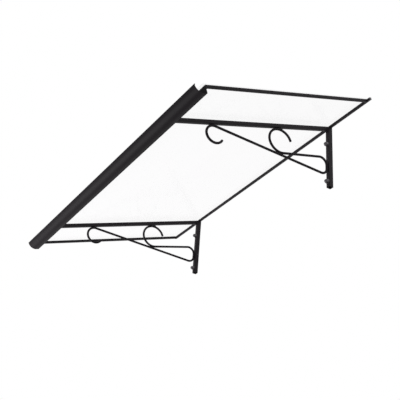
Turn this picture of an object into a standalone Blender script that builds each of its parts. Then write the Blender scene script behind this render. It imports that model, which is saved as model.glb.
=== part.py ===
"""Door canopy: a clear polycarbonate roof in a steel frame, on two scrolled brackets.

Metres, +Z up. The wall is the plane Y = 0 and the roof falls away from it towards -Y.
X runs along the wall. The origin is on the wall, midway between the brackets, where the
underside of the roof frame meets the wall.

Places on the roof are given along the slope: "down" is the distance from the wall along
the frame's underside, and "up" is the height square to it. Places in a bracket's own plane
are (out, z), with "out" measured from the wall.
"""

from math import acos, asin, atan2, ceil, cos, pi, radians, sin, sqrt, tan

import bmesh
import bpy
from mathutils import Matrix, Vector

# Roof frame of square tube; the rail is longer than the roof at its right end
ROOF_WIDTH = 1.500
ROOF_DEPTH = 0.790
ROOF_SLOPE = radians(20)
BAR = 0.010
BAR_WALL = 0.001
RAIL_REACH = 0.014
PLUG_CAP = 0.002
PLUG_EDGE = 0.0005
PLUG_TONGUE = 0.010

# Roof sheet, bonded to the frame with glazing tape
SHEET = 0.004
SHEET_EDGE = 0.0005
DRIP_EDGE = 0.010
TAPE = 0.001
TAPE_WIDTH = 0.007

# Brackets
BRACKET_INSET = 0.235
POST = 0.020
POST_WALL = 0.0015
POST_DROP = 0.288
ARM = 0.016
ARM_WALL = 0.0015
ARM_BELOW_TOP = 0.004

# Scrolls of round bar; the radii are to the bar's centre line
ROD = 0.010
FRONT_CURL_RADIUS = 0.0365
FRONT_CURL_DOWN = 0.612
FRONT_CURL_TURN = radians(250)
REAR_CURL_DOWN = 0.298
REAR_CURL_TURN = radians(268)
HEEL_RADIUS = 0.028
HEEL_RISE = 0.082
SHOULDER_RADIUS = 0.029
SHOULDER_RISE = 0.0165

# Gutter
GUTTER_WALL = 0.0015
GUTTER_DEPTH = 0.035
GUTTER_FLOOR = 0.013
GUTTER_RADIUS = 0.034
GUTTER_HEEL_RADIUS = 0.003
GUTTER_BEAD = 0.004

# Wall fixings: a stud, a washer and a domed cap nut
STUD = 0.010
STUD_IN_NUT = 0.008
STUD_SHORT_OF_WALL = 0.001
WASHER = 0.021
WASHER_THICK = 0.002
NUT = 0.017
NUT_HEX = 0.0065
NUT_HEIGHT = 0.0135
NUT_DOME = 0.016
UPPER_FIXING_DROP = 0.086
LOWER_FIXING_RISE = 0.024

# Self-drilling flange screws for the gutter
SCREW = 0.0042
SCREW_POINT = 0.003
SCREW_TIP = 0.0004
SCREW_TIP_CLEARANCE = 0.0015
SCREW_FLANGE = 0.009
SCREW_FLANGE_THICK = 0.001
SCREW_HEX = 0.007
SCREW_HEX_HEIGHT = 0.0035
GUTTER_SCREWS = 5
SCREW_END_MARGIN = 0.060

# Corner radii of square tube, in wall thicknesses
OUTER_CORNER = 1.1
INNER_CORNER = 0.3

# Fits and fineness
SEAT = 0.0003
CORNER_STEPS = 3
ARC_STEP = radians(8)
NUT_SIDES = 24
SCREW_SIDES = 12
DOME_STEPS = 5
DOME_END = radians(85)
SHARP = radians(35)

FRAME_TOP = BAR
ARM_UNDER = FRAME_TOP - ARM_BELOW_TOP - ARM
TAPE_UNDER = FRAME_TOP + SEAT
SHEET_UNDER = TAPE_UNDER + TAPE + SEAT
MITRE_SEAT = SEAT / sqrt(2)
HALF_WIDTH = ROOF_WIDTH / 2
BAR_MIDDLE = BAR / 2
FRONT_MIDDLE = ROOF_DEPTH - BAR / 2


def clear_scene():
    for thing in list(bpy.data.objects):
        bpy.data.objects.remove(thing, do_unlink=True)


def finish(name, colour, roughness, metallic=0.0, alpha=1.0):
    """A plain material with the colour, roughness and metal of one finish."""
    material = bpy.data.materials.new(name)
    material.use_nodes = True
    shader = material.node_tree.nodes["Principled BSDF"]
    shader.inputs["Base Color"].default_value = (*colour, 1.0)
    shader.inputs["Roughness"].default_value = roughness
    shader.inputs["Metallic"].default_value = metallic
    shader.inputs["Alpha"].default_value = alpha
    return material


def place(data, material, parent=None, location=(0, 0, 0), rotation=(0, 0, 0)):
    """Put a mesh or curve in the scene as one piece, named after it."""
    data.materials.append(material)
    piece = bpy.data.objects.new(data.name, data)
    bpy.context.scene.collection.objects.link(piece)
    piece.parent = parent
    piece.location = location
    piece.rotation_euler = rotation
    return piece


def as_mesh(name, shape):
    """Turn a bmesh into a mesh, smooth over its round parts."""
    mesh = bpy.data.meshes.new(name)
    shape.to_mesh(mesh)
    shape.free()
    mesh.shade_smooth()
    mesh.set_sharp_from_angle(angle=SHARP)
    return mesh


def skin(name, loops, closed=False):
    """A mesh through loops of points: capped at both ends, or closed back on itself."""
    shape = bmesh.new()
    rings = [[shape.verts.new(point) for point in loop] for loop in loops]
    following = rings[1:] + rings[:1] if closed else rings[1:]
    for ring, after in zip(rings, following):
        for i in range(len(ring)):
            shape.faces.new((ring[i - 1], ring[i], after[i], after[i - 1]))
    if not closed:
        shape.faces.new(rings[0])
        shape.faces.new(rings[-1])
    bmesh.ops.recalc_face_normals(shape, faces=shape.faces)
    return as_mesh(name, shape)


def box(name, size):
    """A block with its middle at its origin."""
    shape = bmesh.new()
    bmesh.ops.create_cube(shape, size=1.0)
    bmesh.ops.scale(shape, vec=size, verts=shape.verts)
    return as_mesh(name, shape)


def on_slope(down, up):
    """A place on the roof as (out, z) in the plane of a bracket."""
    out = down * cos(ROOF_SLOPE) + up * sin(ROOF_SLOPE)
    return Vector((out, up * cos(ROOF_SLOPE) - down * sin(ROOF_SLOPE)))


def round_loop(radius, height, sides):
    """A circle of points round Z."""
    turns = [2 * pi * i / sides for i in range(sides)]
    return [(radius * cos(turn), radius * sin(turn), height) for turn in turns]


def hex_loop(across_flats, height, sides):
    """A hexagon round Z, drawn with the same points as a circle."""
    loop = []
    for i in range(sides):
        turn = 2 * pi * i / sides
        radius = across_flats / 2 / cos((turn + pi / 6) % (pi / 3) - pi / 6)
        loop.append((radius * cos(turn), radius * sin(turn), height))
    return loop


def rounded_square(half, corner):
    """Points round a square with rounded corners, anticlockwise."""
    points = []
    for quarter in range(4):
        turn = quarter * pi / 2
        middle = Matrix.Rotation(turn, 2) @ Vector((half - corner, half - corner))
        for step in range(CORNER_STEPS + 1):
            angle = turn + pi / 2 * step / CORNER_STEPS
            points.append((middle.x + corner * cos(angle), middle.y + corner * sin(angle)))
    return points


def square_tube(name, side, wall, start, end):
    """A square tube along X. start and end give each cut's X at a point (y, z) of the section."""
    outer = rounded_square(side / 2, OUTER_CORNER * wall)
    inner = rounded_square(side / 2 - wall, INNER_CORNER * wall)
    loops = []
    for section, cut in ((outer, start), (outer, end), (inner, end), (inner, start)):
        loops.append([(cut(y, z), y, z) for y, z in section])
    return skin(name, loops, closed=True)


def square_to_x(length):
    """A cut square across a tube."""
    return lambda y, z: length


def cut_with(piece, mesh):
    """Take a cutter's shape out of a piece; its mesh is drawn in the piece's parent's frame."""
    cutter = bpy.data.objects.new(mesh.name, mesh)
    bpy.context.scene.collection.objects.link(cutter)
    cutter.parent = piece.parent
    cutter.hide_render = True
    cutter.display_type = "WIRE"
    cut = piece.modifiers.new(mesh.name, "BOOLEAN")
    cut.operation = "DIFFERENCE"
    cut.object = cutter


def drill(piece, name, places, diameter, half_length, sides):
    """Cut round holes along Y through a piece, at places in its parent's frame."""
    shape = bmesh.new()
    for spot in places:
        turned = Matrix.Translation(spot) @ Matrix.Rotation(pi / 2, 4, "X")
        bmesh.ops.create_cone(shape, cap_ends=True, segments=sides, radius1=diameter / 2,
                              radius2=diameter / 2, depth=2 * half_length, matrix=turned)
    cut_with(piece, as_mesh(name, shape))


def arc(centre, radius, bend, start, end):
    """Points round a bend from one heading to another; bend is 1 to the left, -1 to the right."""
    steps = ceil(abs(end - start) / ARC_STEP)
    points = []
    for i in range(steps + 1):
        heading = start + (end - start) * i / steps
        to_left = Vector((-sin(heading), cos(heading)))
        points.append(centre - bend * radius * to_left)
    return points


def straight_heading(centre, radius, bend, next_centre, next_radius, next_bend):
    """Heading of the straight run that leaves one bend and flows into the next."""
    apart = next_centre - centre
    offset = next_bend * next_radius - bend * radius
    return atan2(apart.y, apart.x) - asin(offset / apart.length)


def scroll_route():
    """Centre line of a scroll in (out, z), from the front curl's free end to the rear curl's.

    The bar curls up under the arm's front, runs straight back to the post, turns up along
    the post, comes forward again and ends in a second curl between the arm and itself.
    """
    half = ROD / 2
    against_post = POST + SEAT + half
    front = on_slope(FRONT_CURL_DOWN, ARM_UNDER - SEAT - half - FRONT_CURL_RADIUS)
    heel = Vector((against_post + HEEL_RADIUS, HEEL_RISE - POST_DROP))
    shoulder = Vector((against_post + SHOULDER_RADIUS, heel.y + SHOULDER_RISE))
    back = straight_heading(front, FRONT_CURL_RADIUS, 1, heel, HEEL_RADIUS, -1) % (2 * pi)

    # The rear curl touches the arm above it and the straight run below it
    run_normal = Vector((sin(back), -cos(back)))
    run_point = heel - HEEL_RADIUS * run_normal
    slope_normal = Vector((sin(ROOF_SLOPE), cos(ROOF_SLOPE)))
    ceiling = on_slope(REAR_CURL_DOWN, ARM_UNDER - SEAT - half)
    room = (ceiling - run_point).dot(run_normal) - ROD - SEAT
    rear_radius = room / (1 + slope_normal.dot(run_normal))
    rear = ceiling - rear_radius * slope_normal

    forward = straight_heading(shoulder, SHOULDER_RADIUS, -1, rear, rear_radius, 1)
    route = arc(front, FRONT_CURL_RADIUS, 1, back - FRONT_CURL_TURN, back)
    route += arc(heel, HEEL_RADIUS, -1, back, pi / 2)
    route += arc(shoulder, SHOULDER_RADIUS, -1, pi / 2, forward)
    route += arc(rear, rear_radius, 1, forward, forward + REAR_CURL_TURN)
    return route


def bent_rod(name, route):
    """A round bar along a route in (out, z)."""
    curve = bpy.data.curves.new(name, "CURVE")
    curve.dimensions = "3D"
    curve.bevel_depth = ROD / 2
    curve.bevel_resolution = 4
    curve.use_fill_caps = True
    line = curve.splines.new("POLY")
    line.points.add(len(route) - 1)
    for point, spot in zip(line.points, route):
        point.co = (0, -spot.x, spot.y, 1)
    line.use_smooth = True
    return curve


def sweep(middle, radius, start, end):
    """Points round a circle from one angle to another."""
    steps = ceil(abs(end - start) / ARC_STEP)
    angles = [start + (end - start) * i / steps for i in range(steps + 1)]
    return [(middle.x + radius * cos(angle), middle.y + radius * sin(angle)) for angle in angles]


def gutter_profile():
    """The gutter's closed outline as (down, up), starting at the top of its flat back."""
    back = ROOF_DEPTH + SEAT
    floor = FRAME_TOP - GUTTER_DEPTH
    heel = Vector((back + GUTTER_HEEL_RADIUS, floor + GUTTER_HEEL_RADIUS))
    bend = Vector((back + GUTTER_FLOOR, floor + GUTTER_RADIUS))
    inner_radius = GUTTER_RADIUS - GUTTER_WALL
    bead = GUTTER_BEAD / 2
    bead_middle = Vector((bend.x + GUTTER_RADIUS - bead, bend.y))
    bead_step = bead - GUTTER_WALL
    meets_bead = -asin(sqrt(bead ** 2 - bead_step ** 2) / inner_radius)

    outline = [(back, FRAME_TOP)]
    outline += sweep(heel, GUTTER_HEEL_RADIUS, -pi, -pi / 2)
    outline += sweep(bend, GUTTER_RADIUS, -pi / 2, 0)
    outline += sweep(bead_middle, bead, 0, 2 * pi - acos(bead_step / bead))[1:]
    outline += sweep(bend, inner_radius, meets_bead, -pi / 2)[1:]
    outline += sweep(heel, GUTTER_HEEL_RADIUS - GUTTER_WALL, -pi / 2, -pi)
    outline.append((back + GUTTER_WALL, FRAME_TOP))
    return outline


def washer_ring(name):
    """A flat washer that lies on Z = 0."""
    bore = STUD / 2 + SEAT
    loops = [round_loop(WASHER / 2, 0, NUT_SIDES),
             round_loop(WASHER / 2, WASHER_THICK, NUT_SIDES),
             round_loop(bore, WASHER_THICK, NUT_SIDES),
             round_loop(bore, 0, NUT_SIDES)]
    return skin(name, loops, closed=True)


def cap_nut(name):
    """A hexagon nut with a domed closed top; it sits on Z = 0, its blind bore open below."""
    bore = STUD / 2 + SEAT
    loops = [round_loop(bore, STUD_IN_NUT + SEAT, NUT_SIDES), round_loop(bore, 0, NUT_SIDES),
             hex_loop(NUT, 0, NUT_SIDES), hex_loop(NUT, NUT_HEX, NUT_SIDES)]
    for step in range(DOME_STEPS + 1):
        angle = DOME_END * step / DOME_STEPS
        rise = (NUT_HEIGHT - NUT_HEX) * sin(angle)
        loops.append(round_loop(NUT_DOME / 2 * cos(angle), NUT_HEX + rise, NUT_SIDES))
    return skin(name, loops)


def gutter_screw(name, grip):
    """A hexagon flange screw, point down: the flange's underside is on Z = 0."""
    shank = SCREW / 2
    flange = SCREW_FLANGE / 2
    top = SCREW_FLANGE_THICK + SCREW_HEX_HEIGHT
    loops = [round_loop(SCREW_TIP / 2, -grip, SCREW_SIDES),
             round_loop(shank, SCREW_POINT - grip, SCREW_SIDES),
             round_loop(shank, 0, SCREW_SIDES),
             round_loop(flange, 0, SCREW_SIDES),
             round_loop(flange, SCREW_FLANGE_THICK, SCREW_SIDES),
             hex_loop(SCREW_HEX, SCREW_FLANGE_THICK, SCREW_SIDES),
             hex_loop(SCREW_HEX, top, SCREW_SIDES)]
    return skin(name, loops)


def rail_plug(name):
    """A square plug: its cap covers the tube's end and its tongue goes inside, towards -X."""
    cap = BAR / 2
    tongue = BAR / 2 - BAR_WALL - SEAT
    inside = INNER_CORNER * BAR_WALL
    outside = OUTER_CORNER * BAR_WALL
    sections = [(-PLUG_TONGUE, tongue, inside), (SEAT, tongue, inside), (SEAT, cap, outside),
                (PLUG_CAP - PLUG_EDGE, cap, outside),
                (PLUG_CAP, cap - PLUG_EDGE, outside - PLUG_EDGE)]
    loops = [[(x, y, z) for y, z in rounded_square(half, corner)] for x, half, corner in sections]
    return skin(name, loops)


clear_scene()

black_steel = finish("black_steel", (0.022, 0.021, 0.022), 0.45)
clear_sheet = finish("clear_sheet", (0.86, 0.86, 0.88), 0.08, alpha=0.25)
black_gutter = finish("black_gutter", (0.028, 0.028, 0.030), 0.38)
black_tape = finish("black_tape", (0.02, 0.02, 0.02), 0.75)
grey_zinc = finish("grey_zinc", (0.12, 0.12, 0.125), 0.35, metallic=0.8)
grey_plastic = finish("grey_plastic", (0.17, 0.17, 0.175), 0.5)

roof = bpy.data.objects.new("roof_plane", None)
roof.rotation_euler = (ROOF_SLOPE, 0, 0)
bpy.context.scene.collection.objects.link(roof)
DOWN_SLOPE = (0, 0, -pi / 2)


def on_roof(data, material, x=0.0, down=0.0, up=0.0, rotation=(0, 0, 0)):
    """Place a piece in the roof's frame, where Y points back up the slope."""
    return place(data, material, roof, (x, -down, up), rotation)


# Roof frame: the rail at the wall, the front bar, and between them the two end bars
rail = square_tube("wall_rail", BAR, BAR_WALL, square_to_x(-HALF_WIDTH),
                   square_to_x(HALF_WIDTH + RAIL_REACH))
on_roof(rail, black_steel, down=BAR_MIDDLE, up=BAR_MIDDLE)

half_front = HALF_WIDTH - BAR / 2 - MITRE_SEAT
front_bar = square_tube("front_bar", BAR, BAR_WALL, lambda y, z: y - half_front,
                        lambda y, z: half_front - y)
front_bar = on_roof(front_bar, black_steel, down=FRONT_MIDDLE, up=BAR_MIDDLE)

for hand, side in (("left", -1), ("right", 1)):
    bar = square_tube(f"{hand}_end_bar", BAR, BAR_WALL, square_to_x(BAR + SEAT),
                      lambda y, z, side=side: FRONT_MIDDLE - MITRE_SEAT + side * y)
    on_roof(bar, black_steel, x=side * (HALF_WIDTH - BAR / 2), up=BAR_MIDDLE,
            rotation=DOWN_SLOPE)

on_roof(rail_plug("left_rail_plug"), grey_plastic, x=-HALF_WIDTH, down=BAR_MIDDLE,
        up=BAR_MIDDLE, rotation=(0, 0, pi))
on_roof(rail_plug("right_rail_plug"), grey_plastic, x=HALF_WIDTH + RAIL_REACH,
        down=BAR_MIDDLE, up=BAR_MIDDLE)

# Brackets: a post on the wall, an arm down the slope, and a scroll between them
route = scroll_route()
post_face = POST + SEAT
cope_side = [(-post_face, -post_face * tan(ROOF_SLOPE)), (-post_face, -POST_DROP),
             (POST, -POST_DROP), (POST, POST * tan(ROOF_SLOPE))]
fixing_heights = {"upper": -UPPER_FIXING_DROP, "lower": LOWER_FIXING_RISE - POST_DROP}
for hand, side in (("left", -1), ("right", 1)):
    x = side * (HALF_WIDTH - BRACKET_INSET)
    post = square_tube(f"{hand}_post", POST, POST_WALL,
                       lambda y, z: (POST / 2 - y) * tan(ROOF_SLOPE) + SEAT / cos(ROOF_SLOPE),
                       square_to_x(POST_DROP))
    post = place(post, black_steel, location=(x, -POST / 2, 0), rotation=(0, pi / 2, 0))
    spots = [(x, -POST / 2, height) for height in fixing_heights.values()]
    drill(post, f"{hand}_post_drill", spots, STUD + 2 * SEAT, POST, NUT_SIDES)

    arm = square_tube(f"{hand}_arm", ARM, ARM_WALL, square_to_x(BAR + SEAT),
                      square_to_x(ROOF_DEPTH - BAR - SEAT))
    arm = on_roof(arm, black_steel, x=x, up=ARM_UNDER + ARM / 2, rotation=DOWN_SLOPE)
    to_roof = Matrix.Rotation(-ROOF_SLOPE, 3, "X")
    loops = [[to_roof @ Vector((x + reach, *spot)) for spot in cope_side] for reach in (-ARM, ARM)]
    cut_with(arm, skin(f"{hand}_arm_cope", loops))

    place(bent_rod(f"{hand}_scroll", route), black_steel, location=(x, 0, 0))

    for level, height in fixing_heights.items():
        name = f"{hand}_{level}"
        out = POST + SEAT
        place(washer_ring(f"{name}_washer"), grey_zinc, location=(x, -out, height),
              rotation=(pi / 2, 0, 0))
        out += WASHER_THICK + SEAT
        place(cap_nut(f"{name}_nut"), grey_zinc, location=(x, -out, height),
              rotation=(pi / 2, 0, 0))
        ends = [round_loop(STUD / 2, STUD_SHORT_OF_WALL, NUT_SIDES),
                round_loop(STUD / 2, out + STUD_IN_NUT, NUT_SIDES)]
        place(skin(f"{name}_stud", ends), grey_zinc, location=(x, 0, height),
              rotation=(pi / 2, 0, 0))

# Glazing tape along the middle of each bar, and the sheet bonded on top
tape_up = TAPE_UNDER + TAPE / 2
tape_inset = (BAR - TAPE_WIDTH) / 2
long_tape = ROOF_WIDTH - 2 * tape_inset
on_roof(box("rail_tape", (long_tape, TAPE_WIDTH, TAPE)), black_tape, down=BAR_MIDDLE, up=tape_up)
on_roof(box("front_tape", (long_tape, TAPE_WIDTH, TAPE)), black_tape, down=FRONT_MIDDLE,
        up=tape_up)
short_tape = FRONT_MIDDLE - BAR_MIDDLE - TAPE_WIDTH - 2 * SEAT
for hand, side in (("left", -1), ("right", 1)):
    on_roof(box(f"{hand}_tape", (TAPE_WIDTH, short_tape, TAPE)), black_tape,
            x=side * (HALF_WIDTH - BAR / 2), down=ROOF_DEPTH / 2, up=tape_up)

sheet_length = ROOF_DEPTH + DRIP_EDGE
sheet = on_roof(box("roof_sheet", (ROOF_WIDTH, sheet_length, SHEET)), clear_sheet,
                down=sheet_length / 2, up=SHEET_UNDER + SHEET / 2)
eased_edges = sheet.modifiers.new("eased_edges", "BEVEL")
eased_edges.width = SHEET_EDGE
eased_edges.segments = 1

# Gutter, screwed to the front bar's face
outline = gutter_profile()
loops = [[(x, -down, up) for down, up in outline] for x in (-HALF_WIDTH, HALF_WIDTH)]
gutter = on_roof(skin("gutter", loops), black_gutter)

screw_hole = SCREW + 2 * SEAT
screw_reach = HALF_WIDTH - SCREW_END_MARGIN
screw_xs = [screw_reach * (2 * i / (GUTTER_SCREWS - 1) - 1) for i in range(GUTTER_SCREWS)]
screw_spots = [(x, -ROOF_DEPTH, BAR_MIDDLE) for x in screw_xs]
drill(gutter, "gutter_drill", screw_spots, screw_hole, SEAT + GUTTER_WALL + SEAT, SCREW_SIDES)
drill(front_bar, "front_drill", screw_spots, screw_hole, BAR_WALL + SEAT, SCREW_SIDES)
seat_down = ROOF_DEPTH + SEAT + GUTTER_WALL + SEAT
screw_grip = seat_down - (ROOF_DEPTH - BAR + BAR_WALL + SCREW_TIP_CLEARANCE)
for number, x in enumerate(screw_xs, 1):
    on_roof(gutter_screw(f"gutter_screw_{number}", screw_grip), grey_zinc, x, seat_down,
            BAR_MIDDLE, rotation=(pi / 2, 0, 0))

bpy.context.view_layer.update()
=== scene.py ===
from math import acos, asin, atan2, ceil, cos, pi, radians, sin, sqrt, tan

import bmesh
import bpy
from mathutils import Matrix, Vector


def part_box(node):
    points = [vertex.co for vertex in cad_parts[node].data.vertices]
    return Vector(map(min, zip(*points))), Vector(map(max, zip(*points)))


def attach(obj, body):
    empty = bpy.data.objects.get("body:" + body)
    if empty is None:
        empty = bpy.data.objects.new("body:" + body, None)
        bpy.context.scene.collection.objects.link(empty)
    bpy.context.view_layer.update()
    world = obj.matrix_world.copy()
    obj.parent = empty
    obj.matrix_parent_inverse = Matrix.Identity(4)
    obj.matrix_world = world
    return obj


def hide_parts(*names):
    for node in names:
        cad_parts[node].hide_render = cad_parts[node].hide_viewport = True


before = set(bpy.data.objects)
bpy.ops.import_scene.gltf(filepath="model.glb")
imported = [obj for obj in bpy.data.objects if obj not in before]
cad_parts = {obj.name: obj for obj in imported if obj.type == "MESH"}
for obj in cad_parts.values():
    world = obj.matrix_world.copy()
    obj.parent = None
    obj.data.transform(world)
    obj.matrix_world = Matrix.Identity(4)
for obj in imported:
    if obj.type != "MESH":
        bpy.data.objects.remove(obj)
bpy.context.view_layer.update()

# The studio: a camera below the canopy at its front right, a pale floor far beneath it,
# a white surround and three large soft lamps. None of it belongs to the canopy.
scene = bpy.context.scene
scene.view_settings.view_transform = "Standard"

camera = bpy.data.objects.new("camera", bpy.data.cameras.new("camera"))
scene.collection.objects.link(camera)
camera.data.lens = 75.67
camera.data.sensor_width = 36
camera_place = Vector((2.7427, -1.8750, -2.0308))
camera_right = Vector((0.52626, 0.84806, 0.06199))
camera_up = Vector((0.39582, -0.30884, 0.86484))
camera_back = camera_right.cross(camera_up)
camera.matrix_world = Matrix.Translation(camera_place) @ Matrix(
    (camera_right, camera_up, camera_back)).transposed().to_4x4()
scene.camera = camera


class Value:
    """One number, colour or vector in a material. Python's operators add the nodes."""

    def __init__(self, finish, socket):
        self.finish = finish
        self.socket = socket

    def number(self, operation, *values):
        inputs = dict(enumerate(values))
        return self.finish.node("ShaderNodeMath", {"operation": operation}, inputs)

    def __add__(self, other):
        return self.number("ADD", self, other)

    def __sub__(self, other):
        return self.number("SUBTRACT", self, other)

    def __rsub__(self, other):
        return self.number("SUBTRACT", other, self)

    def __mul__(self, other):
        return self.number("MULTIPLY", self, other)

    def __abs__(self):
        return self.number("ABSOLUTE", self)

    __radd__ = __add__
    __rmul__ = __mul__

    def either(self, other):
        return self.number("MAXIMUM", self, other)

    def stretched(self, x, y, z):
        """A vector with each part scaled."""
        return self.finish.node("ShaderNodeVectorMath", {"operation": "MULTIPLY"},
                                {0: self, 1: (x, y, z)})

    def along(self, direction):
        """How far a vector points along a direction."""
        return self.finish.node("ShaderNodeVectorMath", {"operation": "DOT_PRODUCT"},
                                {0: self, 1: tuple(direction)}, "Value")

    def between(self, low, high):
        """0 below low, 1 above high and a smooth step between them."""
        return self.finish.node("ShaderNodeMapRange", {"interpolation_type": "SMOOTHSTEP"},
                                {"Value": self, "From Min": low, "From Max": high})

    def blend(self, first, second):
        """The first colour where this mask is 0, and the second where it is 1."""
        inputs = {0: self}
        for place, colour in ((6, first), (7, second)):
            inputs[place] = colour if isinstance(colour, Value) else (*colour, 1)
        return self.finish.node("ShaderNodeMix", {"data_type": "RGBA"}, inputs, 2)


class Finish:
    """A material. node() adds any node, and its output comes back as a Value."""

    def __init__(self, holder, shader="Principled BSDF"):
        holder.use_nodes = True
        self.material = holder
        self.tree = holder.node_tree
        self.shader = self.tree.nodes[shader]

    def node(self, kind, settings=None, inputs=None, output=0):
        made = self.tree.nodes.new(kind)
        for name, setting in (settings or {}).items():
            setattr(made, name, setting)
        for name, value in (inputs or {}).items():
            self.feed(made.inputs[name], value)
        return Value(self, made.outputs[output])

    def feed(self, socket, value):
        if isinstance(value, Value):
            self.tree.links.new(value.socket, socket)
        else:
            socket.default_value = value

    def set(self, **values):
        for name, value in values.items():
            self.feed(self.shader.inputs[name.replace("_", " ")], value)

    def place(self):
        """Where a point of the piece is, in metres."""
        return self.node("ShaderNodeTexCoord", output="Object")

    def facing(self, direction):
        """How far the surface faces a direction."""
        return self.node("ShaderNodeNewGeometry", output="Normal").along(direction)

    def noise(self, where, scale, detail=3.0, roughness=0.5):
        """Soft cloudy variation about 0.5, with scale in cycles a metre."""
        return self.node("ShaderNodeTexNoise", None,
                         {"Vector": where, "Scale": scale, "Detail": detail,
                          "Roughness": roughness})

    def cells(self, where, scale):
        """How far a point is from the middle of its cell, with scale in cells a metre."""
        return self.node("ShaderNodeTexVoronoi", None, {"Vector": where, "Scale": scale},
                         "Distance")

    def bump(self, height, strength, distance):
        """Small relief in the surface, with distance in metres."""
        self.set(Normal=self.node("ShaderNodeBump", None,
                                  {"Height": height, "Strength": strength,
                                   "Distance": distance}))


SURROUND_LIGHT = 0.75
world = bpy.data.worlds.new("surround")
scene.world = world
surround = Finish(world, "Background")
rays = surround.node("ShaderNodeLightPath").socket.node
seen = Value(surround, rays.outputs["Is Camera Ray"]).either(
    Value(surround, rays.outputs["Is Glossy Ray"])).either(
    Value(surround, rays.outputs["Is Transmission Ray"]))
surround.set(Color=(1, 1, 1, 1), Strength=seen * (1 - SURROUND_LIGHT) + SURROUND_LIGHT)

ROOF_MIDDLE = Vector((0, -0.4, -0.15))
FLOOR_DROP = 4.5
FLOOR_REACH = 14.0
FLOOR_FADE_STARTS = 4.0
FLOOR_FADE_ENDS = 12.0
floor_shape = bmesh.new()
bmesh.ops.create_grid(floor_shape, x_segments=1, y_segments=1, size=FLOOR_REACH)
floor_mesh = bpy.data.meshes.new("floor")
floor_shape.to_mesh(floor_mesh)
floor_shape.free()
floor = bpy.data.objects.new("floor", floor_mesh)
floor.location = (ROOF_MIDDLE.x, ROOF_MIDDLE.y, -FLOOR_DROP)
scene.collection.objects.link(floor)
pale = Finish(bpy.data.materials.new("pale_floor"))
pale.set(Base_Color=(0.92, 0.92, 0.925, 1), Roughness=0.8, Specular_IOR_Level=0.2)
distance = pale.node("ShaderNodeVectorMath", {"operation": "LENGTH"}, {0: pale.place()}, "Value")
pale.set(Alpha=1 - distance.between(FLOOR_FADE_STARTS, FLOOR_FADE_ENDS))
floor_mesh.materials.append(pale.material)

LEFT_OF_GUTTER = Vector((-2.1, -0.77, -0.29))
for name, spot, aim, size, watts in (
        ("above_front", (0.8, -2.6, 3.2), ROOF_MIDDLE, (2.6, 2.6), 70),
        ("behind_right", (3.2, 1.7, 2.0), ROOF_MIDDLE, (1.6, 1.6), 26),
        ("low_left", (-2.1, -1.85, -2.0), LEFT_OF_GUTTER, (3.2, 2.0), 130)):
    lamp = bpy.data.objects.new(name, bpy.data.lights.new(name, "AREA"))
    lamp.data.shape = "RECTANGLE"
    lamp.data.size, lamp.data.size_y = size
    lamp.data.energy = watts
    lamp.location = spot
    lamp.rotation_euler = (aim - Vector(spot)).to_track_quat("-Z", "Y").to_euler()
    scene.collection.objects.link(lamp)

# Roof frame and posts: square steel tube, cut, welded and powder-coated satin black. The rail
# lies along the wall, the front bar carries the gutter, and the arms run down under the sheet.
SLOPE = radians(20)
UP = Vector((0, 0, 1))
OUT_OF_ROOF = Vector((0, -sin(SLOPE), cos(SLOPE)))
DOWN_ROOF = Vector((0, -cos(SLOPE), -sin(SLOPE)))
ALONG_WALL = Vector((1, 0, 0))
INTO_WALL = Vector((0, 1, 0))
CORNER_JOIN = 0.00002
CORNER_CREASE = radians(35)
BLACK = (0.0066, 0.0053, 0.0066)
BLACK_PALER = (0.0118, 0.0098, 0.0118)
BLACK_RUBBED = (0.052, 0.049, 0.052)
DUST = (0.11, 0.105, 0.10)


def soft_corners():
    """Joins the facets of a tube's rounded corners and shades them as one smooth bend."""
    group = bpy.data.node_groups.new("soft_corners", "GeometryNodeTree")
    group.interface.new_socket("Geometry", in_out="INPUT", socket_type="NodeSocketGeometry")
    group.interface.new_socket("Geometry", in_out="OUTPUT", socket_type="NodeSocketGeometry")
    add = group.nodes.new
    join = group.links.new
    merge = add("GeometryNodeMergeByDistance")
    merge.inputs["Distance"].default_value = CORNER_JOIN
    plain = add("GeometryNodeRemoveAttribute")
    plain.inputs["Name"].default_value = "custom_normal"
    smooth = add("GeometryNodeSetShadeSmooth")
    creases = add("GeometryNodeSetShadeSmooth")
    creases.domain = "EDGE"
    creases.inputs["Shade Smooth"].default_value = False
    sharp = add("FunctionNodeCompare")
    sharp.inputs["B"].default_value = CORNER_CREASE
    join(add("NodeGroupInput").outputs[0], plain.inputs["Geometry"])
    join(plain.outputs[0], merge.inputs["Geometry"])
    join(merge.outputs[0], smooth.inputs["Geometry"])
    join(smooth.outputs[0], creases.inputs["Geometry"])
    join(add("GeometryNodeInputMeshEdgeAngle").outputs["Unsigned Angle"], sharp.inputs["A"])
    join(sharp.outputs[0], creases.inputs["Selection"])
    join(creases.outputs[0], add("NodeGroupOutput").inputs[0])
    return group


def black_paint(name, across=None, upright=None):
    """Satin powder coat. across and upright are a tube's two face directions, if it has them."""
    paint = Finish(bpy.data.materials.new(name))
    where = paint.place()
    cloud = paint.noise(where, scale=9, detail=4, roughness=0.6)
    grain = paint.noise(where, scale=950, detail=2)
    dust = paint.facing(UP).between(0.5, 1.0) * paint.noise(
        where, scale=30, detail=5, roughness=0.7).between(0.35, 0.8)
    tone = cloud.between(0.3, 0.75) * 0.6 + grain.between(0.35, 0.7) * 0.4
    colour = tone.blend(BLACK, BLACK_PALER)
    if across:
        corner = paint.facing(across) * paint.facing(upright)
        rub = (corner * corner * 4).between(0.55, 1.0) * cloud.between(0.45, 0.65)
        colour = (rub * 0.5).blend(colour, BLACK_RUBBED)
    paint.set(Base_Color=(dust * 0.10).blend(colour, DUST),
              Roughness=cloud * 0.12 + grain * 0.08 + dust * 0.2 + 0.38,
              Specular_IOR_Level=0.07)
    paint.bump(grain * 0.7 + paint.noise(where, scale=240, detail=2) * 0.3,
               strength=0.45, distance=0.00016)
    return paint.material


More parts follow.
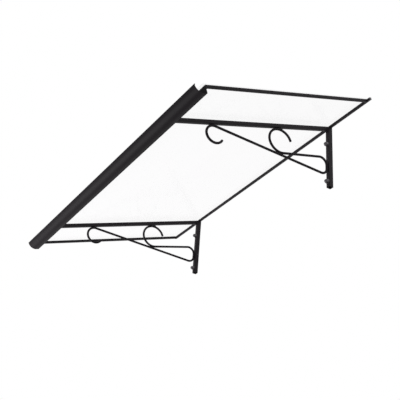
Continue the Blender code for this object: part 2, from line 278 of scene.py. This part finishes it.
def coated(name, material):
    """Gives a CAD piece its finish."""
    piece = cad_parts[name]
    piece.data.materials.clear()
    piece.data.materials.append(material)
    return piece


corner_shading = soft_corners()
along_wall_paint = black_paint("black_paint_along_wall", DOWN_ROOF, OUT_OF_ROOF)
down_roof_paint = black_paint("black_paint_down_roof", ALONG_WALL, OUT_OF_ROOF)
post_paint = black_paint("black_paint_post", ALONG_WALL, INTO_WALL)
for paint, nodes in ((along_wall_paint, ("wall_rail", "front_bar")),
                     (down_roof_paint, ("left_end_bar", "right_end_bar", "left_arm",
                                        "right_arm")),
                     (post_paint, ("left_post", "right_post"))):
    for name in nodes:
        tube = coated(name, paint)
        tube.modifiers.new("soft_corners", "NODES").node_group = corner_shading

# Rail plugs: two moulded caps of grey plastic, pushed into the rail's open ends. Their
# faces have the fine matt grain of a moulding.
PLUG_DARK = (0.052, 0.050, 0.053)
PLUG_PALE = (0.080, 0.077, 0.081)
plug_grey = Finish(bpy.data.materials.new("plug_grey"))
plug_where = plug_grey.place()
plug_cloud = plug_grey.noise(plug_where, scale=160, detail=3)
plug_grey.set(Base_Color=plug_cloud.blend(PLUG_DARK, PLUG_PALE),
              Roughness=plug_cloud * 0.2 + 0.42, Specular_IOR_Level=0.3)
plug_grey.bump(plug_grey.noise(plug_where, scale=2600, detail=2), strength=0.2, distance=0.0001)
for name in ("left_rail_plug", "right_rail_plug"):
    plug = coated(name, plug_grey.material)
    plug.modifiers.new("soft_corners", "NODES").node_group = corner_shading

# Scrolls: one 10 mm round bar each, bent cold. It curls up under the arm's front, runs back to
# the post, turns up along it, comes forward again and ends in a larger curl under the arm.
ROD = 0.010
SEAT = 0.0003
POST = 0.020
POST_DROP = 0.288
ARM_UNDER = -0.010
FRONT_CURL_RADIUS = 0.0365
FRONT_CURL_DOWN = 0.612
FRONT_CURL_TURN = radians(250)
REAR_CURL_DOWN = 0.298
REAR_CURL_TURN = radians(268)
HEEL_RADIUS = 0.028
HEEL_RISE = 0.082
SHOULDER_RADIUS = 0.029
SHOULDER_RISE = 0.0165
LEFT_TURN = 1
RIGHT_TURN = -1
BEND_STEP = radians(3)
ROD_SIDES = 20
# The cut ends are filed round over ROD_END, by way of a ring this share ahead and in.
ROD_END = 0.0012
ROD_END_AHEAD = 0.3
ROD_END_IN = 0.4
SHARP = radians(30)


def on_slope(down, up):
    """A place on the roof as (out from the wall, height)."""
    return Vector((down * cos(SLOPE) + up * sin(SLOPE), up * cos(SLOPE) - down * sin(SLOPE)))


def bend(centre, radius, turn, start, end):
    """Points round a bend from one heading to another, by a left or a right turn."""
    steps = ceil(abs(end - start) / BEND_STEP)
    points = []
    for i in range(steps + 1):
        heading = start + (end - start) * i / steps
        points.append(centre - turn * radius * Vector((-sin(heading), cos(heading))))
    return points


def straight_heading(centre, radius, turn, next_centre, next_radius, next_turn):
    """Heading of the straight run that leaves one bend and flows into the next."""
    apart = next_centre - centre
    return atan2(apart.y, apart.x) - asin((next_turn * next_radius - turn * radius) / apart.length)


def rings_along(shape, points, radii, sides):
    """Skin a round bar along points, with its own radius at each and both ends closed."""
    side = None
    rings = []
    for i, point in enumerate(points):
        ahead = (points[min(i + 1, len(points) - 1)] - points[max(i - 1, 0)]).normalized()
        if side is None:
            side = ahead.orthogonal().normalized()
        side = (side - side.dot(ahead) * ahead).normalized()
        other = ahead.cross(side)
        ring = []
        for k in range(sides):
            turn = 2 * pi * k / sides
            ring.append(shape.verts.new(
                point + radii[i] * (cos(turn) * side + sin(turn) * other)))
        rings.append(ring)
    for ring, after in zip(rings, rings[1:]):
        for k in range(sides):
            shape.faces.new((ring[k - 1], ring[k], after[k], after[k - 1]))
    shape.faces.new(rings[0][::-1])
    shape.faces.new(rings[-1])


def made_piece(name, shape, material, slot, *nodes, sharp=SHARP):
    """Turn a shape into a piece that rides on the canopy and stands for its CAD nodes."""
    bmesh.ops.recalc_face_normals(shape, faces=shape.faces)
    mesh = bpy.data.meshes.new(name)
    shape.to_mesh(mesh)
    shape.free()
    mesh.shade_smooth()
    mesh.set_sharp_from_angle(angle=sharp)
    mesh.materials.append(material)
    piece = bpy.data.objects.new(name, mesh)
    scene.collection.objects.link(piece)
    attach(piece, "root")
    if nodes:
        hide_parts(*nodes)
    return piece


rod_half = ROD / 2
front_curl = on_slope(FRONT_CURL_DOWN, ARM_UNDER - SEAT - rod_half - FRONT_CURL_RADIUS)
heel = Vector((POST + SEAT + rod_half + HEEL_RADIUS, HEEL_RISE - POST_DROP))
shoulder = Vector((POST + SEAT + rod_half + SHOULDER_RADIUS, heel.y + SHOULDER_RISE))
back_heading = straight_heading(front_curl, FRONT_CURL_RADIUS, LEFT_TURN,
                                heel, HEEL_RADIUS, RIGHT_TURN) % (2 * pi)
run_normal = Vector((sin(back_heading), -cos(back_heading)))
run_point = heel - HEEL_RADIUS * run_normal
slope_normal = Vector((sin(SLOPE), cos(SLOPE)))
rear_top = on_slope(REAR_CURL_DOWN, ARM_UNDER - SEAT - rod_half)
rear_curl_radius = ((rear_top - run_point).dot(run_normal) - ROD - SEAT) / (
    1 + slope_normal.dot(run_normal))
rear_curl = rear_top - rear_curl_radius * slope_normal
forward_heading = straight_heading(shoulder, SHOULDER_RADIUS, RIGHT_TURN,
                                   rear_curl, rear_curl_radius, LEFT_TURN)

scroll_route = bend(front_curl, FRONT_CURL_RADIUS, LEFT_TURN,
                    back_heading - FRONT_CURL_TURN, back_heading)
scroll_route += bend(heel, HEEL_RADIUS, RIGHT_TURN, back_heading, pi / 2)
scroll_route += bend(shoulder, SHOULDER_RADIUS, RIGHT_TURN, pi / 2, forward_heading)
scroll_route += bend(rear_curl, rear_curl_radius, LEFT_TURN,
                     forward_heading, forward_heading + REAR_CURL_TURN)

scroll_paint = black_paint("black_paint_scroll")
for hand in ("left", "right"):
    low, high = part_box(f"{hand}_post")
    middle = (low.x + high.x) / 2
    line = [Vector((middle, -spot.x, spot.y)) for spot in scroll_route]
    start = (line[1] - line[0]).normalized()
    end = (line[-1] - line[-2]).normalized()
    eased = [line[0], line[0] + start * ROD_END_AHEAD * ROD_END, line[0] + start * ROD_END]
    eased += line[1:-1]
    eased += [line[-1] - end * ROD_END, line[-1] - end * ROD_END_AHEAD * ROD_END, line[-1]]
    radii = [rod_half - ROD_END, rod_half - ROD_END_IN * ROD_END]
    radii += [rod_half] * (len(eased) - 4)
    radii += [rod_half - ROD_END_IN * ROD_END, rod_half - ROD_END]
    shape = bmesh.new()
    rings_along(shape, eased, radii, ROD_SIDES)
    made_piece(f"{hand}_scroll_bar", shape, scroll_paint, "black_steel", f"{hand}_scroll")

# Welds: short rippled beads under the paint in the corners where tubes and bars meet: arm and
# post, arm and frame, scroll and post, scroll and arm, the scroll where it passes its own run,
# and the corners of the frame.
ARM = 0.016
BAR = 0.010
ROOF_DEPTH = 0.790
WELD = 0.0014
ARM_WELD = 0.8 * WELD
RAIL_WELD = 0.7 * WELD
MITRE_WELD = 0.55 * WELD
WELD_SIDES = 8
WELD_STEP = 0.0005
# A bead's radius ripples along it and wanders a little, by shares of itself, and it grows from
# a small tip at each end.
RIPPLE = 0.0016
RIPPLE_SHARE = 0.10
WANDER_SHARE = 0.06
WANDER_PACE = 0.37
WANDER_START = 9000
TIP_SHARE = 0.35
TIP_GROWTH = 0.25
# FLANK is how far outside the arm's sides the middle of a bead lies, as a share of its radius.
# END is where the bead round the head of a post stops, as (down the roof, up from it), and
# UNDER is how much further down it crosses under the arm. OFF is how far a middle stands off
# the face that it joins, APART how far it lies to each side of the middle of the rod, and
# HALF is half of a bead's length.
FLANK_SHARE = 0.3
POST_WELD_END = (0.0115, 0.0006)
POST_WELD_OFF = 0.0003
POST_WELD_UNDER = 0.0031
ARM_WELD_OFF = 0.0006
ARM_WELD_FOOT = 0.001
ROD_WELD_OFF = 0.0010
ROD_WELD_APART = 0.0031
ROD_WELD_PAST_BEND = 0.002
ROD_WELD_HALF = 0.006
PASSING_WELD_APART = 0.0026
PASSING_WELD_HALF = 0.007
RAIL_WELD_OFF = 0.0002
OUTER_WELD_UP = 0.004
INNER_WELD_UP = 0.008


def weld_bead(shape, corners, radius=WELD):
    """A bead along straight runs between corners, rippled, with tapered ends."""
    points = []
    for here, after in zip(corners, corners[1:]):
        steps = max(2, ceil((after - here).length / WELD_STEP))
        points += [here.lerp(after, i / steps) for i in range(steps)]
    points.append(corners[-1])
    radii = []
    for i in range(len(points)):
        ripple = RIPPLE_SHARE * sin(2 * pi * i * WELD_STEP / RIPPLE)
        wave = ripple + WANDER_SHARE * sin(i * WANDER_PACE + radius * WANDER_START)
        taper = min(1.0, TIP_SHARE + TIP_GROWTH * min(i, len(points) - 1 - i))
        radii.append(radius * taper * (1 + wave))
    rings_along(shape, points, radii, WELD_SIDES)


def roof_point(x, down, up):
    """A place on the roof in the canopy's own frame."""
    out, height = on_slope(down, up)
    return Vector((x, -out, height))


def beside(x, spot):
    """A place in a bracket's plane, (out, height), moved sideways to x."""
    return Vector((x, -spot.x, spot.y))


weld_paint = black_paint("black_paint_welds")
under_arm = on_slope((POST + SEAT + POST_WELD_OFF) / cos(SLOPE) + POST_WELD_UNDER, ARM_UNDER)
post_crown = on_slope((POST + SEAT) / cos(SLOPE), 0)
post_low = Vector((POST + ROD_WELD_OFF, heel.y - ROD_WELD_PAST_BEND))
post_high = Vector((POST + ROD_WELD_OFF, shoulder.y + ROD_WELD_PAST_BEND))
fall = on_slope(1, 0) - on_slope(0, 0)
run = Vector((cos(back_heading), sin(back_heading)))
touch = rear_curl + rear_curl_radius * run_normal
passing = touch + run_normal * (rod_half + SEAT / 2)
for hand in ("left", "right"):
    low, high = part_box(f"{hand}_post")
    middle = (low.x + high.x) / 2
    left_flank = middle - (ARM / 2 + FLANK_SHARE * WELD)
    right_flank = middle + (ARM / 2 + FLANK_SHARE * WELD)
    shape = bmesh.new()
    weld_bead(shape, [roof_point(left_flank, *POST_WELD_END), beside(left_flank, post_crown),
                      beside(left_flank, under_arm), beside(right_flank, under_arm),
                      beside(right_flank, post_crown), roof_point(right_flank, *POST_WELD_END)])
    for down in (BAR + ARM_WELD_OFF, ROOF_DEPTH - BAR - ARM_WELD_OFF):
        weld_bead(shape, [roof_point(left_flank, down, ARM_WELD_FOOT),
                          roof_point(left_flank, down, ARM_UNDER + ARM),
                          roof_point(right_flank, down, ARM_UNDER + ARM),
                          roof_point(right_flank, down, ARM_WELD_FOOT)], ARM_WELD)
    for sideways in (-1, 1):
        x = middle + sideways * ROD_WELD_APART
        weld_bead(shape, [beside(x, post_low), beside(x, post_high)])
        for curl_down in (FRONT_CURL_DOWN, REAR_CURL_DOWN):
            top = on_slope(curl_down, ARM_UNDER) + Vector((0, -ROD_WELD_OFF))
            weld_bead(shape, [beside(x, top - ROD_WELD_HALF * fall),
                              beside(x, top + ROD_WELD_HALF * fall)])
        x = middle + sideways * PASSING_WELD_APART
        weld_bead(shape, [beside(x, passing - PASSING_WELD_HALF * run),
                          beside(x, passing + PASSING_WELD_HALF * run)])
    made_piece(f"{hand}_bracket_welds", shape, weld_paint, "black_steel", sharp=pi)

shape = bmesh.new()
left_low, left_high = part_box("left_end_bar")
right_low, right_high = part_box("right_end_bar")
for outer, inner in ((left_low.x, left_high.x), (right_high.x, right_low.x)):
    weld_bead(shape, [roof_point(outer, BAR + RAIL_WELD_OFF, OUTER_WELD_UP),
                      roof_point(outer, BAR + RAIL_WELD_OFF, 0),
                      roof_point(inner, BAR + RAIL_WELD_OFF, 0),
                      roof_point(inner, BAR + RAIL_WELD_OFF, INNER_WELD_UP)], RAIL_WELD)
    weld_bead(shape, [roof_point(inner, ROOF_DEPTH - BAR, INNER_WELD_UP),
                      roof_point(inner, ROOF_DEPTH - BAR, 0),
                      roof_point(outer, ROOF_DEPTH, 0)], MITRE_WELD)
made_piece("frame_welds", shape, weld_paint, "black_steel", sharp=pi)

# Wall fixings: dull grey zinc. A stud comes out of the wall through each hole in the posts,
# with a flat washer and a domed cap nut that closes over the stud's end.
STUD_BORE = 0.0106
STUD_IN_NUT = 0.008
WASHER = 0.021
WASHER_THICK = 0.002
NUT = 0.017
NUT_HEX = 0.0065
NUT_HEIGHT = 0.0135
NUT_DOME = 0.016
EDGE = 0.0003
EDGE_EASED = 0.3 * EDGE
HEX_INSIDE_FLATS = 0.0002
HEX_CHAMFER = radians(30)
HEX_SHARP = radians(25)
CHAMFER_STEPS = 4
DOME_FOOT = 0.0002
DOME_FOOT_RISE = 0.0003
DOME_STEPS = 11
DOME_END = radians(88)
TURNED_SIDES = 72
ZINC_DARK = (0.052, 0.048, 0.053)
ZINC_PALE = (0.081, 0.077, 0.082)


def ring(shape, height, radius_at):
    """A closed ring of points round the Z axis; radius_at gives the radius for each angle."""
    points = []
    for k in range(TURNED_SIDES):
        turn = 2 * pi * k / TURNED_SIDES
        radius = radius_at(turn)
        points.append(shape.verts.new((radius * cos(turn), radius * sin(turn), height)))
    return points


def turned(shape, steps, bored=False):
    """Skin a turned or hexagonal piece from (height, radius) steps.

    Its ends are closed, or the steps run round a bore and back to where they start.
    """
    rings = []
    for height, radius in steps:
        rings.append(ring(shape, height, radius if callable(radius) else lambda turn: radius))
    following = rings[1:] + rings[:1] if bored else rings[1:]
    for lower, upper in zip(rings, following):
        for k in range(TURNED_SIDES):
            shape.faces.new((lower[k - 1], lower[k], upper[k], upper[k - 1]))
    if not bored:
        shape.faces.new(rings[0][::-1])
        shape.faces.new(rings[-1])


def hexagon(across, trimmed):
    """Radius of a hexagon at each angle, its corners turned off at a trimmed radius."""
    def radius_at(turn):
        return min(across / 2 / cos((turn + pi / 6) % (pi / 3) - pi / 6), trimmed)
    return radius_at


def chamfered_hex(across, low, high):
    """Steps up a hexagon whose corners are chamfered below and above."""
    corner = across / sqrt(3)
    face = across / 2 - HEX_INSIDE_FLATS
    rise = (corner - face) * tan(HEX_CHAMFER)
    shares = [i / CHAMFER_STEPS for i in range(CHAMFER_STEPS + 1)]
    steps = []
    for share in shares:
        steps.append((low + share * rise, hexagon(across, face + share * (corner - face))))
    for share in reversed(shares):
        steps.append((high - share * rise, hexagon(across, face + share * (corner - face))))
    return steps


zinc = Finish(bpy.data.materials.new("dull_zinc"))
zinc_where = zinc.place()
zinc_cloud = zinc.noise(zinc_where, scale=420, detail=4, roughness=0.6)
spangle = zinc.cells(zinc_where, scale=700)
zinc.set(Base_Color=zinc_cloud.between(0.3, 0.7).blend(ZINC_DARK, ZINC_PALE),
         Roughness=zinc_cloud * 0.22 + spangle * 0.1 + 0.30, Metallic=0.85)
zinc.bump(zinc_cloud * 0.6 + spangle * 0.4, strength=0.2, distance=0.0001)

washer_steps = [(0, WASHER / 2 - EDGE), (EDGE, WASHER / 2), (WASHER_THICK - EDGE, WASHER / 2),
                (WASHER_THICK - EDGE_EASED, WASHER / 2 - EDGE_EASED),
                (WASHER_THICK, WASHER / 2 - EDGE), (WASHER_THICK, STUD_BORE / 2),
                (0, STUD_BORE / 2)]
nut_steps = [(STUD_IN_NUT + SEAT, STUD_BORE / 2), (EDGE, STUD_BORE / 2),
             (0, STUD_BORE / 2 + EDGE)]
nut_steps += chamfered_hex(NUT, 0, NUT_HEX)
nut_steps.append((NUT_HEX, NUT_DOME / 2 + DOME_FOOT))
dome_start = NUT_HEX + DOME_FOOT_RISE
dome_height = NUT_HEIGHT - NUT_HEX - DOME_FOOT_RISE
for i in range(DOME_STEPS + 1):
    angle = DOME_END * i / DOME_STEPS
    nut_steps.append((dome_start + dome_height * sin(angle), NUT_DOME / 2 * cos(angle)))

for hand in ("left", "right"):
    for level in ("upper", "lower"):
        name = f"{hand}_{level}"
        low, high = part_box(f"{name}_washer")
        against_post = Matrix.Translation(((low.x + high.x) / 2, high.y, (low.z + high.z) / 2))
        shape = bmesh.new()
        turned(shape, washer_steps, bored=True)
        bmesh.ops.transform(shape, matrix=against_post @ Matrix.Rotation(pi / 2, 4, "X"),
                            verts=shape.verts)
        made_piece(f"{name}_flat_washer", shape, zinc.material, "grey_zinc", f"{name}_washer")

        low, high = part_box(f"{name}_nut")
        on_washer = Matrix.Translation(((low.x + high.x) / 2, high.y, (low.z + high.z) / 2))
        shape = bmesh.new()
        turned(shape, nut_steps)
        bmesh.ops.transform(shape, matrix=on_washer @ Matrix.Rotation(pi / 2, 4, "X"),
                            verts=shape.verts)
        made_piece(f"{name}_cap_nut", shape, zinc.material, "grey_zinc", f"{name}_nut",
                   sharp=HEX_SHARP)

        stud = coated(f"{name}_stud", zinc.material)

# Glazing tape: black closed-cell foam with glue on both faces, laid along the middle of each
# bar under the sheet. It shows as a thin dark line between frame and sheet.
FOAM_DARK = (0.008, 0.008, 0.008)
FOAM_PALE = (0.020, 0.020, 0.021)
foam = Finish(bpy.data.materials.new("black_foam"))
foam_cells = foam.cells(foam.place(), scale=1800)
foam.set(Base_Color=foam_cells.between(0.0, 0.8).blend(FOAM_DARK, FOAM_PALE),
         Roughness=foam_cells * 0.1 + 0.78, Specular_IOR_Level=0.2)
foam.bump(foam_cells, strength=0.5, distance=0.0002)
for name in ("rail_tape", "front_tape", "left_tape", "right_tape"):
    tape = coated(name, foam.material)

# Roof sheet: 4 mm clear solid polycarbonate, sawn to size and bonded to the tape. Its faces
# are glossy and all but clear, and its sawn edges look milky grey.
CLEAR_FACE = (0.60, 0.565, 0.605)
MILKY_EDGE = (0.66, 0.68, 0.70)
clear = Finish(bpy.data.materials.new("clear_polycarbonate"))
clear_where = clear.place()
edge_on = 1 - abs(clear.facing(OUT_OF_ROOF))
sawn = edge_on.between(0.3, 0.8)
streaks = clear.noise(clear_where.stretched(1.2, 14, 5), scale=1.0, detail=4, roughness=0.55)
smear = clear.noise(clear_where, scale=2.2, detail=5, roughness=0.6)
film = smear.between(0.35, 0.75) * 0.5 + streaks.between(0.4, 0.7) * 0.5
clear.set(Base_Color=sawn.blend(CLEAR_FACE, MILKY_EDGE),
          Roughness=film * 0.06 + sawn * 0.3 + 0.13,
          Alpha=film * 0.02 + sawn * 0.07 + 0.052,
          IOR=1.585)
clear.bump(clear.noise(clear_where, scale=7, detail=2), strength=0.05, distance=0.002)
sheet = coated("roof_sheet", clear.material)

# Gutter: one extruded length of semi-matt black plastic with both ends open. Its flat back is
# screwed to the front bar, the bottom sweeps round in a quarter circle and the lip is a bead.
GUTTER_WALL = 0.0015
GUTTER_DEPTH = 0.035
GUTTER_FLOOR = 0.013
GUTTER_RADIUS = 0.034
GUTTER_HEEL_RADIUS = 0.003
GUTTER_BEAD = 0.004
GUTTER_LENGTH = 1.500
GUTTER_SHARP = radians(40)
PROFILE_STEP = radians(2.5)
BEAD_STEPS = 18
LENGTH_STEPS = 61
GUTTER_BLACK = (0.0054, 0.0042, 0.0054)
GUTTER_PALER = (0.0080, 0.0064, 0.0080)
SILT = (0.12, 0.105, 0.085)


def sweep(middle, radius, start, end):
    """Points round a circle from one angle to another."""
    steps = ceil(abs(end - start) / PROFILE_STEP)
    angles = [start + (end - start) * i / steps for i in range(steps + 1)]
    return [middle + radius * Vector((cos(angle), sin(angle))) for angle in angles]


back_face = ROOF_DEPTH + SEAT
gutter_bottom = BAR - GUTTER_DEPTH
gutter_heel = Vector((back_face + GUTTER_HEEL_RADIUS, gutter_bottom + GUTTER_HEEL_RADIUS))
gutter_bend = Vector((back_face + GUTTER_FLOOR, gutter_bottom + GUTTER_RADIUS))
bead = GUTTER_BEAD / 2
bead_middle = Vector((gutter_bend.x + GUTTER_RADIUS - bead, gutter_bend.y))
bead_step = bead - GUTTER_WALL
bead_end = 2 * pi - acos(bead_step / bead)
inner_radius = GUTTER_RADIUS - GUTTER_WALL
meets_bead = -asin(sqrt(bead ** 2 - bead_step ** 2) / inner_radius)
profile = [Vector((back_face, BAR))]
profile += sweep(gutter_heel, GUTTER_HEEL_RADIUS, -pi, -pi / 2)
profile += sweep(gutter_bend, GUTTER_RADIUS, -pi / 2, 0)
for i in range(1, BEAD_STEPS + 1):
    angle = bead_end * i / BEAD_STEPS
    profile.append(bead_middle + bead * Vector((cos(angle), sin(angle))))
profile += sweep(gutter_bend, inner_radius, meets_bead, -pi / 2)[1:]
profile += sweep(gutter_heel, GUTTER_HEEL_RADIUS - GUTTER_WALL, -pi / 2, -pi)
profile.append(Vector((back_face + GUTTER_WALL, BAR)))

plastic = Finish(bpy.data.materials.new("black_gutter_plastic"))
gutter_where = plastic.place()
lines = plastic.noise(gutter_where.stretched(0.8, 420, 420), scale=1.0, detail=2)
gutter_cloud = plastic.noise(gutter_where, scale=14, detail=4, roughness=0.6)
silt = plastic.facing(UP).between(0.3, 0.95) * plastic.noise(
    gutter_where.stretched(9, 60, 60), scale=1.0, detail=5, roughness=0.65).between(0.4, 0.75)
plastic_colour = gutter_cloud.blend(GUTTER_BLACK, GUTTER_PALER)
plastic.set(Base_Color=(silt * 0.16).blend(plastic_colour, SILT),
            Roughness=lines * 0.06 + gutter_cloud * 0.06 + silt * 0.2 + 0.42,
            Specular_IOR_Level=0.045)
plastic.bump(lines * 0.8 + plastic.noise(gutter_where, scale=1300, detail=2) * 0.2,
             strength=0.12, distance=0.0002)

shape = bmesh.new()
sections = []
for i in range(LENGTH_STEPS + 1):
    x = GUTTER_LENGTH * (i / LENGTH_STEPS - 0.5)
    sections.append([shape.verts.new(roof_point(x, spot.x, spot.y)) for spot in profile])
for here, after in zip(sections, sections[1:]):
    for k in range(len(profile)):
        shape.faces.new((here[k - 1], here[k], after[k], after[k - 1]))
shape.faces.new(sections[0])
shape.faces.new(sections[-1])
gutter = made_piece("rain_gutter", shape, plastic.material, "black_gutter", "gutter",
                    sharp=GUTTER_SHARP)

# Gutter screws: five self-drilling screws with a pressed flange and a hexagon head, driven
# through the gutter's back into the front bar. The holes in the gutter are drilled to clear.
BAR_WALL = 0.001
SCREW = 0.0042
SCREW_HOLE = 0.0048
SCREW_POINT = 0.003
SCREW_TIP_CLEARANCE = 0.0015
SCREW_FLANGE = 0.009
SCREW_FLANGE_THICK = 0.001
SCREW_FLANGE_EDGE = 0.0002
SCREW_HEX = 0.007
SCREW_HEX_HEIGHT = 0.0035
SCREW_HEX_FOOT = 0.0001
TIP_RADIUS = 0.05 * SCREW
POINT_RADIUS = 0.38 * SCREW
CORE_RADIUS = 0.40 * SCREW
THREAD = 0.0014
THREAD_FORM = ((0.35, CORE_RADIUS), (0.5, SCREW / 2), (0.65, CORE_RADIUS))
THREAD_FREE = 0.0006
NECK = 0.0002
DRILL_PAST_BACK = 3 * SEAT
GUTTER_SCREWS = 5

seat = ROOF_DEPTH + SEAT + GUTTER_WALL + SEAT
reach = seat - (ROOF_DEPTH - BAR + BAR_WALL + SCREW_TIP_CLEARANCE)
screw_steps = [(-reach, TIP_RADIUS), (SCREW_POINT - reach, POINT_RADIUS)]
for k in range(int((reach - SCREW_POINT - THREAD_FREE) / THREAD)):
    foot = SCREW_POINT - reach + k * THREAD
    screw_steps += [(foot + share * THREAD, radius) for share, radius in THREAD_FORM]
screw_steps += [(-NECK, CORE_RADIUS), (0, SCREW / 2), (0, SCREW_FLANGE / 2 - SCREW_FLANGE_EDGE),
                (SCREW_FLANGE_EDGE, SCREW_FLANGE / 2), (SCREW_FLANGE_THICK / 2, SCREW_FLANGE / 2),
                (SCREW_FLANGE_THICK, SCREW_HEX / sqrt(3) + SCREW_HEX_FOOT)]
screw_steps += chamfered_hex(SCREW_HEX, SCREW_FLANGE_THICK,
                             SCREW_FLANGE_THICK + SCREW_HEX_HEIGHT)[CHAMFER_STEPS:]
drill_steps = [(-GUTTER_WALL - DRILL_PAST_BACK, SCREW_HOLE / 2), (SEAT, SCREW_HOLE / 2)]

drills = bmesh.new()
for number in range(1, GUTTER_SCREWS + 1):
    node = f"gutter_screw_{number}"
    low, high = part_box(node)
    x = (low.x + high.x) / 2
    upright = Matrix.Rotation(SLOPE, 4, "X") @ Matrix.Translation((x, -seat, BAR / 2))
    point_in = upright @ Matrix.Rotation(pi / 2, 4, "X")
    shape = bmesh.new()
    turned(shape, screw_steps)
    bmesh.ops.transform(shape, matrix=point_in, verts=shape.verts)
    made_piece(f"gutter_fixing_{number}", shape, zinc.material, "grey_zinc", node,
               sharp=HEX_SHARP)
    drilled_before = len(drills.verts)
    turned(drills, drill_steps)
    drills.verts.ensure_lookup_table()
    bmesh.ops.transform(drills, matrix=point_in, verts=drills.verts[drilled_before:])

bmesh.ops.recalc_face_normals(drills, faces=drills.faces)
drill_mesh = bpy.data.meshes.new("gutter_drills")
drills.to_mesh(drill_mesh)
drills.free()
drill_bits = bpy.data.objects.new("gutter_drills", drill_mesh)
scene.collection.objects.link(drill_bits)
cut = gutter.modifiers.new("screw_holes", "BOOLEAN")
cut.operation = "DIFFERENCE"
cut.object = drill_bits
drilled = bpy.data.meshes.new_from_object(
    gutter.evaluated_get(bpy.context.evaluated_depsgraph_get()))
gutter.modifiers.clear()
gutter.data = drilled
bpy.data.objects.remove(drill_bits)
